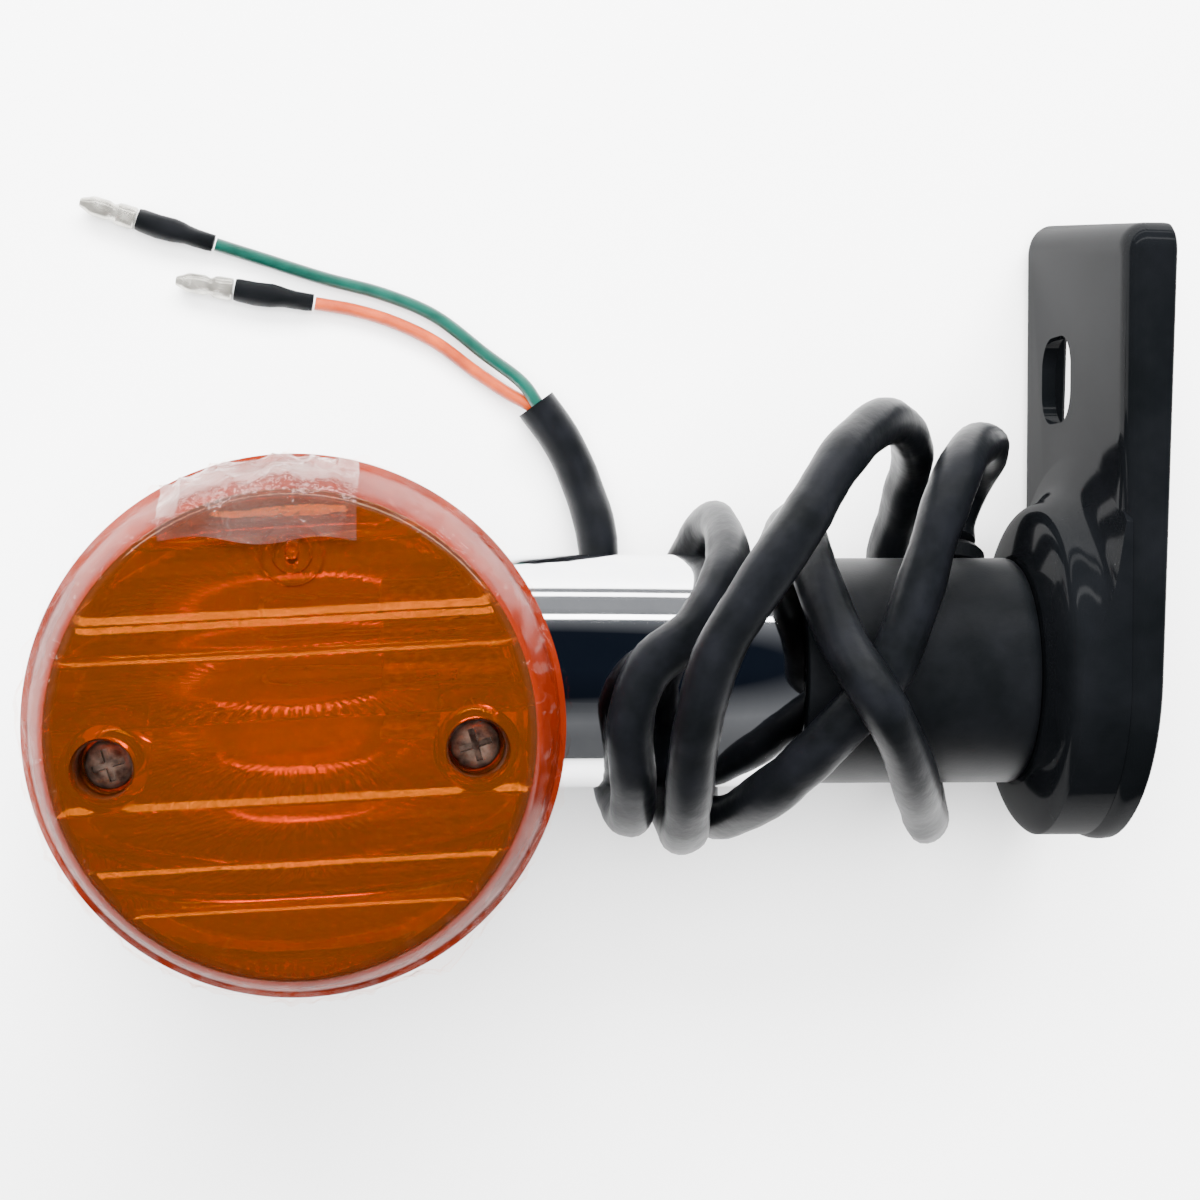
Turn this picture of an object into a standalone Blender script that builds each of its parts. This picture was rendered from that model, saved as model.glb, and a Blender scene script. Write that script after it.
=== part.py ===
"""Motorcycle turn signal: round amber lamp on a chromed stem, rubber stalk and pressed bracket.

Metres, +Z up. The lamp lies on its back with the lens facing up, the stem runs along +X to
the bracket, and the lead is wound round the stem. Origin: middle of the body's box, at its base.
"""
import bpy
import bmesh
from math import cos, pi, radians, sin
from mathutils import Matrix, Vector

MM = 0.001
GAP = 0.3                           # mm kept between touching pieces

# place of the whole lamp: the lamp head's centre, measured from the origin
HEAD_X, HEAD_Y = -40.4 * MM, -18.0 * MM
STEM_Y = HEAD_Y + 6.0 * MM          # the stem runs a little off the head's centre
AXIS_Z = 24.0 * MM                  # height of the stem and stalk axis

# lamp head; profile sizes are plain mm, as (radius, height) along the axis they are turned about
RIM = 42.0                          # height of the bowl's rim
BOWL_R, WALL = 35.0, 2.0
LENS_R, LENS_LOW, LENS_TOP = 36.0, 43.6, 60.0
SCREW_HALF = 23.6 * MM              # half the spacing of the lens screws
SCREW_DY = -3.0 * MM                # screw line below the head's centre
LENS_TILT = radians(3.0)

# stem, stalk and bracket along +X, from the head's centre
STEM_R, BORE_R, STEM_END = 16.5, 14.2, 69.1
STALK_R, SPIGOT_R, STALK_END = 16.0, 13.9, 101.4
GRUB_X = 63.0 * MM                  # grub screw that holds the stalk's spigot in the stem
WEB_X, SHEET = 109.9, 2.0
FLANGE_TOP, FLANGE_LOW = 116.8 * MM, 114.6 * MM
HALF_W = 24.0 * MM                  # half the bracket's width
TOP_NEAR, TOP_FAR = 61.0 * MM, 66.0 * MM
HOLE_Y, HOLE_Z = 41.8 * MM, 17.0 * MM
HOLE_W, HOLE_H, HOLE_CORNER = 13.4 * MM, 12.6 * MM, 4.6 * MM

# bulb
BULB_R, BASE_R = 12.5, 7.5
PUSH = 2.2                          # travel of the bulb against its contact spring
TURN = 22.0                         # bayonet turn, degrees

# lead
CORD_R, WIRE_R = 3.1 * MM, 1.0 * MM

# route of the sheathed lead, mm from the head's centre in X and from the stem axis in Y
CORD_ROUTE = [
    (96.0, 18.2, 13.5), (96.5, 21.4, 11.8), (98.2, 26.6, 13.2), (98.6, 30.6, 20.5),
    (95.8, 32.2, 29.5), (91.2, 29.6, 37.5), (87.0, 22.0, 42.0), (83.4, 11.4, 43.2),
    (79.0, 0.8, 44.0), (72.0, -7.6, 43.2), (65.0, -15.4, 38.0), (59.8, -20.4, 28.0),
    (57.8, -20.0, 16.0), (60.0, -12.5, 6.0), (63.8, 0.0, 4.0), (68.0, 10.5, 5.8),
    (70.8, 19.0, 13.0), (70.2, 21.2, 25.5), (70.0, 15.6, 37.6), (72.6, 5.6, 45.0),
    (76.8, -2.8, 50.6), (81.6, -10.6, 45.6), (86.0, -18.2, 34.8), (89.8, -21.6, 23.0),
    (92.0, -18.2, 11.6), (91.2, -8.0, 4.4), (89.2, 4.0, 3.9), (87.6, 15.5, 6.5),
    (88.2, 24.0, 13.5), (87.0, 31.6, 24.5), (80.4, 34.8, 37.5), (72.6, 30.0, 47.0),
    (65.6, 20.6, 53.0), (59.6, 12.3, 55.0), (54.6, 3.8, 54.6), (52.4, -6.6, 51.4),
    (52.4, -17.2, 44.0), (53.6, -22.2, 32.0), (54.0, -20.8, 18.5), (54.0, -13.5, 7.6),
    (54.2, -3.0, 3.9), (55.4, 8.6, 5.4), (58.0, 17.6, 12.4), (59.6, 20.9, 23.5),
    (58.6, 15.0, 37.6), (53.6, 7.0, 43.2), (47.2, 1.6, 44.0), (44.7, -5.6, 43.4),
    (45.8, -14.6, 38.0), (46.6, -20.4, 27.0), (46.0, -17.4, 12.6), (45.0, -6.6, 4.6),
    (44.2, 5.6, 4.2), (44.0, 18.0, 6.2), (41.8, 27.0, 3.6), (38.8, 33.6, 3.3),
    (35.0, 39.0, 3.3),
]
GREEN_ROUTE = [
    (33.6, 41.6, 3.9), (31.8, 43.2, 3.2), (27.4, 46.6, 1.8), (20.0, 52.3, 1.2), (12.2, 55.6, 1.2),
    (3.1, 58.0, 1.2), (-5.9, 60.8, 1.2), (-13.1, 63.0, 1.4),
]
ORANGE_ROUTE = [
    (32.8, 39.6, 2.6), (30.8, 40.8, 1.9), (26.0, 44.0, 1.2), (20.0, 48.4, 1.2), (13.7, 51.4, 1.2),
    (7.7, 53.2, 1.2), (1.8, 54.2, 1.4),
]
CORD_STEPS, WIRE_STEPS = 79, 30


def clear_scene():
    for obj in list(bpy.data.objects):
        bpy.data.objects.remove(obj, do_unlink=True)


def material(name, colour, roughness, metallic=0.0):
    mat = bpy.data.materials.new(name)
    mat.use_nodes = True
    shader = mat.node_tree.nodes["Principled BSDF"]
    shader.inputs["Base Color"].default_value = (*colour, 1.0)
    shader.inputs["Roughness"].default_value = roughness
    shader.inputs["Metallic"].default_value = metallic
    return mat


def add_object(name, bm, mat=None, smooth=True):
    bmesh.ops.recalc_face_normals(bm, faces=bm.faces)
    mesh = bpy.data.meshes.new(name)
    bm.to_mesh(mesh)
    bm.free()
    if smooth:
        mesh.shade_smooth()
        mesh.set_sharp_from_angle(angle=radians(35))
    obj = bpy.data.objects.new(name, mesh)
    bpy.context.scene.collection.objects.link(obj)
    if mat:
        mesh.materials.append(mat)
    return obj


def bridge(bm, loops, closed=False):
    """Join equal vertex loops with quads; a loop of one vertex is a pole."""
    pairs = list(zip(loops, loops[1:]))
    if closed:
        pairs.append((loops[-1], loops[0]))
    for first, second in pairs:
        count = max(len(first), len(second))
        for i in range(count):
            j = (i + 1) % count
            if len(first) == 1:
                bm.faces.new((first[0], second[i], second[j]))
            elif len(second) == 1:
                bm.faces.new((first[i], first[j], second[0]))
            else:
                bm.faces.new((first[i], first[j], second[j], second[i]))


def lathe_mesh(profile, segments, axis, centre):
    """Turn a profile of (radius, height) in mm about an axis; r = 0 ends make it solid."""
    bm = bmesh.new()
    loops = []
    for radius, height in profile:
        count = segments if radius > 0 else 1
        loop = []
        for i in range(count):
            a = 2 * pi * i / segments
            u, v, h = radius * cos(a) * MM, radius * sin(a) * MM, height * MM
            spot = Vector((h, u, v)) if axis == "X" else Vector((u, v, h))
            loop.append(bm.verts.new(spot + Vector(centre)))
        loops.append(loop)
    bridge(bm, loops, closed=profile[0][0] > 0)
    return bm


def lathe(name, profile, mat=None, segments=32, axis="X", centre=None):
    if centre is None:
        centre = (HEAD_X, STEM_Y, AXIS_Z) if axis == "X" else (HEAD_X, HEAD_Y, 0)
    return add_object(name, lathe_mesh(profile, segments, axis, centre), mat)


def prism(name, outline, low, high, axis, mat=None):
    """Extrude a closed outline of (u, v) from low to high along an axis."""
    bm = bmesh.new()
    loops = []
    for h in (low, high):
        spots = [Vector((h, u, v)) if axis == "X" else Vector((u, v, h)) for u, v in outline]
        loops.append([bm.verts.new(spot) for spot in spots])
    bridge(bm, loops)
    bm.faces.new(loops[0])
    bm.faces.new(loops[1])
    return add_object(name, bm, mat, smooth=False)


def combine(target, cutter, operation):
    """Apply a Boolean and drop the cutter."""
    mod = target.modifiers.new(operation.lower(), "BOOLEAN")
    mod.operation = operation
    mod.solver = "EXACT"
    mod.object = cutter
    graph = bpy.context.evaluated_depsgraph_get()
    mesh = bpy.data.meshes.new_from_object(target.evaluated_get(graph), depsgraph=graph)
    target.modifiers.remove(mod)
    target.data = mesh
    bpy.data.objects.remove(cutter, do_unlink=True)
    tidy = bmesh.new()
    tidy.from_mesh(mesh)
    bmesh.ops.remove_doubles(tidy, verts=tidy.verts, dist=0.00001)
    bmesh.ops.dissolve_degenerate(tidy, edges=tidy.edges, dist=0.00001)
    tidy.to_mesh(mesh)
    tidy.free()
    mesh.shade_smooth()
    mesh.set_sharp_from_angle(angle=radians(35))
    return target


def smooth_path(points, count):
    """Evenly spaced points on a Catmull-Rom curve through the given points."""
    ends = [2 * points[0] - points[1]] + points + [2 * points[-1] - points[-2]]
    fine = []
    for k in range(1, len(ends) - 2):
        a, b, c, d = ends[k - 1:k + 3]
        for step in range(12):
            t = step / 12
            fine.append(0.5 * (2 * b + (c - a) * t + (2 * a - 5 * b + 4 * c - d) * t * t
                               + (3 * b - a - 3 * c + d) * t ** 3))
    fine.append(points[-1])
    lengths = [0.0]
    for p, q in zip(fine, fine[1:]):
        lengths.append(lengths[-1] + (q - p).length)
    even, k = [], 0
    for i in range(count):
        goal = lengths[-1] * i / (count - 1)
        while k < len(fine) - 2 and lengths[k + 1] < goal:
            k += 1
        share = (goal - lengths[k]) / (lengths[k + 1] - lengths[k])
        even.append(fine[k].lerp(fine[k + 1], min(max(share, 0.0), 1.0)))
    return even


def place(route):
    """Route points, given in mm from the head and the stem axis, in metres."""
    return [Vector((HEAD_X + x * MM, STEM_Y + y * MM, z * MM)) for x, y, z in route]


def tube(name, points, radius, count, mat, sides=2):
    curve = bpy.data.curves.new(name, "CURVE")
    curve.dimensions = "3D"
    curve.bevel_depth = radius
    curve.bevel_resolution = sides
    curve.use_fill_caps = True
    spline = curve.splines.new("POLY")
    path = smooth_path(points, count)
    spline.points.add(len(path) - 1)
    for target, spot in zip(spline.points, path):
        target.co = (*spot, 1.0)
    curve.materials.append(mat)
    obj = bpy.data.objects.new(name, curve)
    bpy.context.scene.collection.objects.link(obj)
    return obj


def point_x_towards(obj, origin, direction):
    """Stand an object modelled along +X at a point, facing a direction."""
    turn = Vector(direction).to_track_quat("X", "Z").to_matrix().to_4x4()
    obj.matrix_world = Matrix.Translation(origin) @ turn


def screw_spots():
    """Centres of the two lens screws, right one first."""
    spots = []
    for side in (1, -1):
        x = HEAD_X + side * SCREW_HALF * cos(LENS_TILT)
        y = HEAD_Y + SCREW_DY + side * SCREW_HALF * sin(LENS_TILT)
        spots.append((x, y))
    return spots


BOWL_OUT = [(0, 0), (14, 0), (21.5, 2.2), (28.4, 8.6), (32.6, 18), (34.5, 28), (BOWL_R, 36), (BOWL_R, RIM)]
BOWL_IN = [(BOWL_R - WALL, RIM), (BOWL_R - WALL, 36), (32.5, 28), (30.6, 18.6), (26.8, 10), (20.4, 4.2),
           (13.6, 2.2), (0, WALL)]
STEM_OUT = [(0, 18), (STEM_R, 18), (STEM_R, STEM_END), (0, STEM_END)]
STEM_IN = [(0, 14), (BORE_R, 14), (BORE_R, STEM_END + 1), (0, STEM_END + 1)]


def make_housing(chrome):
    """Bowl and stem cast in one, with two ears that take the lens screws."""
    housing = lathe("housing", BOWL_OUT + [(0, RIM)], chrome, 48, "Z")
    combine(housing, lathe("stem", STEM_OUT, None, 40), "UNION")
    hollow = [(0, RIM + 1), (BOWL_R - WALL, RIM + 1)] + BOWL_IN
    combine(housing, lathe("bowl_hollow", hollow, None, 48, "Z"), "DIFFERENCE")
    combine(housing, lathe("stem_hollow", STEM_IN, None, 40), "DIFFERENCE")
    for side, (x, y) in zip((1, -1), screw_spots()):
        near, far = sorted((x - 4.6 * MM * side, x + 10.6 * MM * side))
        low, high = y - 4.6 * MM, y + 4.6 * MM
        ear = [(near, low), (far, low), (far, high), (near, high)]
        combine(housing, prism("ear", ear, 38.6 * MM, 41.6 * MM, "Z"), "UNION")
        hole = [(0, 30), (2.2, 30), (2.2, 50), (0, 50)]
        combine(housing, lathe("ear_hole", hole, None, 16, "Z", (x, y, 0)), "DIFFERENCE")
    drill = lathe("grub_hole", [(0, 0), (2.2, 0), (2.2, 14), (0, 14)], None, 16, "Z",
                  (HEAD_X + GRUB_X, STEM_Y, 0))
    combine(housing, drill, "DIFFERENCE")
    return housing


def make_lens(amber):
    """Cup of amber plastic with two screw wells."""
    outer = [(0, LENS_TOP), (29.6, LENS_TOP), (31.0, 59.4), (32.0, 58), (35.2, 45.4), (LENS_R, 45),
             (LENS_R, LENS_LOW)]
    inner = [(33.0, LENS_LOW), (30.4, 56.6), (28.8, 57.6), (0, 57.6)]
    lens = lathe("lens", outer + inner, amber, 48, "Z")
    for x, y in screw_spots():
        well = [(0, 47.4), (5.4, 47.4), (5.4, 59.0), (0, 59.0)]
        combine(lens, lathe("well", well, None, 24, "Z", (x, y, 0)), "UNION")
        bore = [(0, 40), (2.3, 40), (2.3, 50), (3.75, 50), (3.75, 62), (0, 62)]
        combine(lens, lathe("bore", bore, None, 24, "Z", (x, y, 0)), "DIFFERENCE")
    return lens


def make_film(clear):
    """Clear film drawn over the lens and down its side."""
    low, high = LENS_TOP + 0.4, LENS_TOP + 0.7
    skin = [(0, high), (29.8, high), (31.4, 60.1), (32.6, 58.4), (35.6, 45.9), (35.3, 45.9),
            (32.3, 58.2), (31.2, 59.8), (29.7, low), (0, low)]
    return lathe("protective_film", skin, clear, 48, "Z")


def make_screw(name, spot, steel):
    """Pan-head lens screw with a cross recess."""
    profile = [(0, 52.9), (2.2, 52.8), (3.1, 52.0), (3.3, 50.4), (1.9, 50.4), (1.9, 36.4), (1.0, 35.0),
               (0, 35.0)]
    screw = lathe(name, profile, steel, 24, "Z", (*spot, 0))
    for turned in (False, True):
        wide, thin = (1.9 * MM, 0.4 * MM) if not turned else (0.4 * MM, 1.9 * MM)
        x, y = spot
        slot = [(x - wide, y - thin), (x + wide, y - thin), (x + wide, y + thin), (x - wide, y + thin)]
        combine(screw, prism("slot", slot, 51.6 * MM, 54 * MM, "Z"), "DIFFERENCE")
    return screw


def make_gasket(rubber):
    """Flat ring between bowl and lens."""
    low, high = RIM + GAP, LENS_LOW - GAP
    ring = [(33.2, low), (34.8, low), (34.8, high), (33.2, high)]
    return lathe("lens_gasket", ring, rubber, 48, "Z")


def make_reflector(silver):
    """Dished reflector under the bulb, open towards the socket."""
    dish = [(0, 7.0), (10, 7.6), (18, 10.4), (24, 16), (28, 25), (30, 36), (32.0, 37.4), (32.0, 38.1),
            (29.4, 38.1), (27.2, 25.4), (23.3, 16.7), (17.6, 11.3), (9.9, 8.5), (0, 7.9)]
    reflector = lathe("reflector", dish, silver, 36, "Z")
    opening = lathe("opening", [(0, 14), (10.4, 14), (10.4, 40), (0, 40)], None, 32)
    return combine(reflector, opening, "DIFFERENCE")


def make_socket(plated):
    """Bayonet socket shell: two windows let the pins travel and turn."""
    shell = [(7.8, 11.5), (8.6, 11.5), (8.6, 34.0), (7.8, 34.0)]
    socket = lathe("bulb_socket", shell, plated, 32)
    for side in (1, -1):
        bm = bmesh.new()
        loops = []
        for k in range(7):
            a = (90 if side > 0 else 270) - 8 + (TURN + 16) * (k / 6)
            a = radians(a)
            loop = []
            for r, x in ((6.0, 16.0), (10.5, 16.0), (10.5, 19.4 + PUSH), (6.0, 19.4 + PUSH)):
                spot = (HEAD_X + x * MM, STEM_Y + r * MM * cos(a), AXIS_Z + r * MM * sin(a))
                loop.append(bm.verts.new(spot))
            loops.append(loop)
        bridge(bm, loops)
        bm.faces.new(loops[0])
        bm.faces.new(loops[-1])
        combine(socket, add_object("window", bm, None, False), "DIFFERENCE")
    return socket


def make_bulb(glass, brass, solder, tungsten):
    """Glass, base with two pins, solder contact and filament."""
    outer = [(12.2, 7.0), (10.0, 7.4), (6, 9.0), (1, 11.6), (-4, BULB_R), (-10, 11.9), (-15, 9.4),
             (-18.4, 5.4), (-19.6, 0)]
    inner = [(-18.9, 0), (-17.8, 5.0), (-14.5, 8.8), (-9.8, 11.2), (-4, BULB_R - 0.7), (0.8, 10.9),
             (5.6, 8.3), (9.8, 6.6), (12.2, 6.2)]
    profile = [(r, x) for x, r in outer] + [(r, x) for x, r in inner]
    bm = bmesh.new()
    centre = Vector((HEAD_X, STEM_Y, AXIS_Z))
    loops = []
    for radius, x in profile:
        loop = []
        for i in range(24 if radius > 0 else 1):
            a = 2 * pi * i / 24
            loop.append(bm.verts.new(centre + Vector((x, radius * cos(a), radius * sin(a))) * MM))
        loops.append(loop)
    split = len(outer)
    bridge(bm, loops[:split])
    bridge(bm, loops[split:])
    bridge(bm, [loops[-1], loops[0]])
    envelope = add_object("bulb_glass", bm, glass)
    shell = [(0, 12.5), (7.0, 12.5), (7.4, 13.2), (BASE_R, 25.0), (5.0, 26.4), (0, 26.4)]
    base = lathe("bulb_base", shell, brass, 32)
    for side in (1, -1):
        start = Vector((HEAD_X + 18.0 * MM, STEM_Y, AXIS_Z))
        pin = lathe("pin", [(0, 6.0), (1.0, 6.0), (1.0, 9.4), (0, 9.4)], None, 12, "Z", (0, 0, 0))
        pin.data.transform(Matrix.Translation(start) @ Matrix.Diagonal((1, 1, side, 1)))
        if side < 0:
            pin.data.flip_normals()
        combine(base, pin, "UNION")
    contact = lathe("bulb_contact", [(0, 26.7), (2.2, 26.7), (2.0, 27.6), (0, 28.0)], solder, 16)
    hoop = [(11.9, 2.4, 0), (4.0, 3.0, 0), (-3.0, 3.4, 0), (-4.6, 1.6, 0), (-4.6, -1.6, 0),
            (-3.0, -3.4, 0), (4.0, -3.0, 0), (11.9, -2.4, 0)]
    path = [centre + Vector((x, y, z)) * MM for x, y, z in hoop]
    filament = tube("bulb_filament", path, 0.35 * MM, 28, tungsten, 1)
    return [envelope, base, contact, filament]


def make_contact_parts(phenolic, steel, plated):
    """Spring-loaded contact disc, its spring and the plate that carries the socket."""
    disc = lathe("contact_disc", [(0, 28.3), (7.3, 28.3), (7.3, 30.0), (0, 30.0)], phenolic, 32)
    turns, per_turn, radius = 4, 10, 5.2
    path = []
    for i in range(turns * per_turn + 1):
        a = 2 * pi * i / per_turn
        x = 30.8 + 7.2 * i / (turns * per_turn)
        offset = Vector((x, radius * cos(a), radius * sin(a))) * MM
        path.append(Vector((HEAD_X, STEM_Y, AXIS_Z)) + offset)
    spring = tube("contact_spring", path, 0.4 * MM, len(path), steel, 1)
    cup = [(2.6, 38.6), (8.9, 38.6), (8.9, 32.2), (13.9, 32.2), (13.9, 33.2), (9.2, 33.2), (9.2, 34.6),
           (13.9, 34.6), (13.9, 39.9), (2.6, 39.9)]
    carrier = lathe("socket_carrier", cup, plated, 32)
    return disc, spring, carrier


def make_stalk(rubber):
    """Rubber stalk with a spigot in the stem and a bonded plate's pocket at its far end."""
    shoulder = STEM_END + GAP
    profile = [(3.4, 56.0), (SPIGOT_R, 56.0), (SPIGOT_R, shoulder), (STALK_R, shoulder), (STALK_R, 100.8),
               (15.4, STALK_END), (11.6, STALK_END), (11.6, 97.6), (3.4, 97.6)]
    stalk = lathe("rubber_stalk", profile, rubber, 40)
    pocket = lathe("grub_pocket", [(0, 6), (2.3, 6), (2.3, 14.6), (0, 14.6)], None, 16, "Z",
                   (HEAD_X + GRUB_X, STEM_Y, 0))
    return combine(stalk, pocket, "DIFFERENCE")


def outline(inset):
    """Bracket outline in (y, z): round lower end about the stem axis, slanted top, round corners."""
    half = HALF_W - inset
    points = []
    for k in range(21):
        a = pi + pi * k / 20
        points.append((STEM_Y + half * sin(a), AXIS_Z + half * cos(a)))
    corner = max(4.0 * MM - inset, 1.2 * MM)
    for side, top in ((1, TOP_NEAR), (-1, TOP_FAR)):
        level = STEM_Y + top - inset
        sweep = range(5) if side > 0 else range(4, -1, -1)
        for k in sweep:
            a = pi / 2 * k / 4
            height = AXIS_Z + side * (half - corner + corner * cos(a))
            points.append((level - corner + corner * sin(a), height))
    return points


def edge_x(y):
    """How far the flange reaches, a little less at the lower end."""
    share = (y - STEM_Y + HALF_W) / (TOP_FAR + HALF_W)
    return HEAD_X + FLANGE_LOW + (FLANGE_TOP - FLANGE_LOW) * share


def make_bracket(paint):
    """Pressed dish with a turned-back flange, a drawn boss for the stalk and a bolt hole."""
    levels = [(None, 0.0), (112.9, 0.0), (111.2, 0.5), (110.3, 1.4), (WEB_X, 3.0)]
    inner = [(WEB_X + SHEET, 4.6), (112.6, 2.8), (113.6, SHEET), (None, SHEET)]
    bm = bmesh.new()
    loops = []
    for x, inset in levels + inner:
        spots = outline(inset * MM)
        loop = []
        for y, z in spots:
            loop.append(bm.verts.new((edge_x(y) if x is None else HEAD_X + x * MM, y, z)))
        loops.append(loop)
    bridge(bm, loops[:5])
    bridge(bm, loops[5:])
    bridge(bm, [loops[-1], loops[0]])
    bm.faces.new(loops[4])
    bm.faces.new(loops[5])
    bracket = add_object("bracket", bm, paint)
    boss = [(0, 101.7), (16.6, 101.7), (21.2, 102.9), (23.2, 104.2), (24.4, 106.6), (27.0, 108.9),
            (31.5, 110.2), (31.5, 111.0), (0, 111.0)]
    boss = lathe("boss", boss, None, 40)
    trim = prism("trim", outline(0.6 * MM), HEAD_X + 100 * MM, HEAD_X + 114 * MM, "X")
    combine(boss, trim, "INTERSECT")
    combine(bracket, boss, "UNION")
    hollow = [(0, 103.7), (16.2, 103.7), (20.2, 104.8), (21.6, 107.6), (21.6, 112.6), (0, 112.6)]
    combine(bracket, lathe("boss_hollow", hollow, None, 40), "DIFFERENCE")
    stud_hole = [(0, 100), (6.4, 100), (6.4, 106), (0, 106)]
    combine(bracket, lathe("stud_hole", stud_hole, None, 24), "DIFFERENCE")
    hole = []
    for cy, cz, start in ((1, 1, 0), (-1, 1, 90), (-1, -1, 180), (1, -1, 270)):
        for k in range(5):
            a = radians(start + 22.5 * k)
            hole.append((STEM_Y + HOLE_Y + cy * (HOLE_H / 2 - HOLE_CORNER) + HOLE_CORNER * cos(a),
                         HOLE_Z + cz * (HOLE_W / 2 - HOLE_CORNER) + HOLE_CORNER * sin(a)))
    punch = prism("bolt_hole", hole, HEAD_X + 105 * MM, HEAD_X + 120 * MM, "X")
    combine(bracket, punch, "DIFFERENCE")
    return bracket


def make_fixing(steel, plated):
    """Bonded stud plate, washers and nut that hold the stalk in the boss."""
    shape = [(0, 97.9), (11.3, 97.9), (11.3, 100.9), (6.0, 101.2), (6.0, 114.0), (5.2, 114.8), (0, 114.8)]
    stud = lathe("stalk_stud", shape, steel, 32)
    flat = [(6.4, 104.0), (12.0, 104.0), (12.0, 105.6), (6.4, 105.6)]
    washer = lathe("stud_washer", flat, plated, 32)
    split = [(6.4, 105.9), (9.6, 105.9), (9.6, 107.6), (6.4, 107.6)]
    lock = lathe("lock_washer", split, plated, 32)
    hexagon = []
    for k in range(6):
        a = radians(30 + 60 * k)
        hexagon.append((STEM_Y + 10.4 * MM * cos(a), AXIS_Z + 10.4 * MM * sin(a)))
    nut = prism("stud_nut", hexagon, HEAD_X + 107.9 * MM, HEAD_X + 113.6 * MM, "X", plated)
    combine(nut, lathe("thread", [(0, 100), (6.3, 100), (6.3, 120), (0, 120)], None, 32), "DIFFERENCE")
    return [stud, washer, lock, nut]


def make_lead(pvc, green, orange, rubber, tin):
    """Sheathed lead, its grommet, the two wires, their boots and bullet terminals."""
    route = place(CORD_ROUTE)
    pieces = [tube("lead_sleeve", route, CORD_R, CORD_STEPS, pvc)]
    way = (route[1] - route[0]).normalized()
    ring = [(0, -4.4), (4.4, -4.4), (4.4, -2.2), (3.6, -1.3), (0, -1.3)]
    grommet = lathe("lead_grommet", ring, rubber, 24, "X", (0, 0, 0))
    point_x_towards(grommet, route[0], way)
    pieces.append(grommet)
    for name, wire_route, mat in (("green", GREEN_ROUTE, green), ("orange", ORANGE_ROUTE, orange)):
        path = place(wire_route)
        pieces.append(tube("wire_" + name, path, WIRE_R, WIRE_STEPS, mat))
        way = (path[-1] - path[-2]).normalized()
        way.z = 0.012 if name == "green" else 0.0
        shrunk = [(0, 0.3), (1.35, 0.3), (1.5, 3.0), (1.9, 7.0), (1.8, 12.2), (0, 12.2)]
        boot = lathe("boot_" + name, shrunk, pvc, 16, "X", (0, 0, 0))
        lift = Vector((0, 0, 0.6 * MM))
        point_x_towards(boot, path[-1] + lift, way)
        bullet = [(0, 12.5), (1.7, 12.5), (1.7, 15.5), (1.3, 16.0), (1.5, 16.6), (1.5, 19.0), (1.1, 19.8),
                  (0.6, 21.0), (0, 21.2)]
        terminal = lathe("terminal_" + name, bullet, tin, 16, "X", (0, 0, 0))
        point_x_towards(terminal, path[-1] + lift, way)
        pieces += [boot, terminal]
    return pieces


def pivot(name, spot):
    empty = bpy.data.objects.new(name, None)
    empty.location = spot
    bpy.context.scene.collection.objects.link(empty)
    return empty


def hang(pieces, empty):
    """Parent pieces to a joint's empty without moving them."""
    bpy.context.view_layer.update()
    for piece in pieces:
        place_now = piece.matrix_world.copy()
        piece.parent = empty
        piece.matrix_parent_inverse = empty.matrix_world.inverted()
        piece.matrix_world = place_now


def build():
    clear_scene()
    chrome = material("chrome", (0.78, 0.79, 0.8), 0.06, 1.0)
    plated = material("zinc_plate", (0.6, 0.6, 0.58), 0.3, 1.0)
    steel = material("dark_steel", (0.2, 0.18, 0.17), 0.4, 1.0)
    paint = material("black_paint", (0.012, 0.012, 0.014), 0.15)
    rubber = material("black_rubber", (0.02, 0.02, 0.022), 0.5)
    amber = material("amber_plastic", (0.9, 0.22, 0.04), 0.1)
    clear = material("clear_film", (0.9, 0.8, 0.78), 0.15)
    silver = material("vacuum_silver", (0.85, 0.8, 0.7), 0.1, 1.0)
    glass = material("bulb_clear", (0.9, 0.9, 0.9), 0.05)
    brass = material("brass", (0.75, 0.6, 0.3), 0.3, 1.0)
    phenolic = material("phenolic", (0.25, 0.13, 0.06), 0.6)
    pvc = material("black_pvc", (0.015, 0.015, 0.018), 0.4)
    green = material("green_pvc", (0.0, 0.32, 0.25), 0.4)
    orange = material("orange_pvc", (0.9, 0.38, 0.16), 0.4)
    tin = material("tin_plate", (0.75, 0.74, 0.7), 0.25, 1.0)

    disc, spring, carrier = make_contact_parts(phenolic, steel, plated)
    head = [make_housing(chrome), make_lens(amber), make_film(clear), make_gasket(rubber),
            make_reflector(silver), make_socket(plated), carrier, spring]
    for name, spot in zip(("lens_screw_right", "lens_screw_left"), screw_spots()):
        head.append(make_screw(name, spot, steel))
    head.append(lathe("grub_screw", [(0, 7.2), (1.9, 7.2), (1.9, 14.2), (0, 14.2)], steel, 16, "Z",
                      (HEAD_X + GRUB_X, STEM_Y, 0)))
    bulb = make_bulb(glass, brass, tin, steel)
    make_bracket(paint)
    make_stalk(rubber)
    make_fixing(steel, plated)
    make_lead(pvc, green, orange, rubber, tin)

    flex = pivot("stalk_flex_axis", (HEAD_X + 85 * MM, STEM_Y, AXIS_Z))
    hang(head, flex)
    push = pivot("bulb_push_axis", (HEAD_X + 29 * MM, STEM_Y, AXIS_Z))
    hang([disc], push)
    turn = pivot("bulb_turn_axis", (HEAD_X + 18 * MM, STEM_Y, AXIS_Z))
    hang(bulb, turn)
    hang([turn], push)
    hang([push], flex)


build()
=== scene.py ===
from math import cos, pi, radians, sin, sqrt
import bpy
import bmesh
from mathutils import Matrix, Vector, noise


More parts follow.
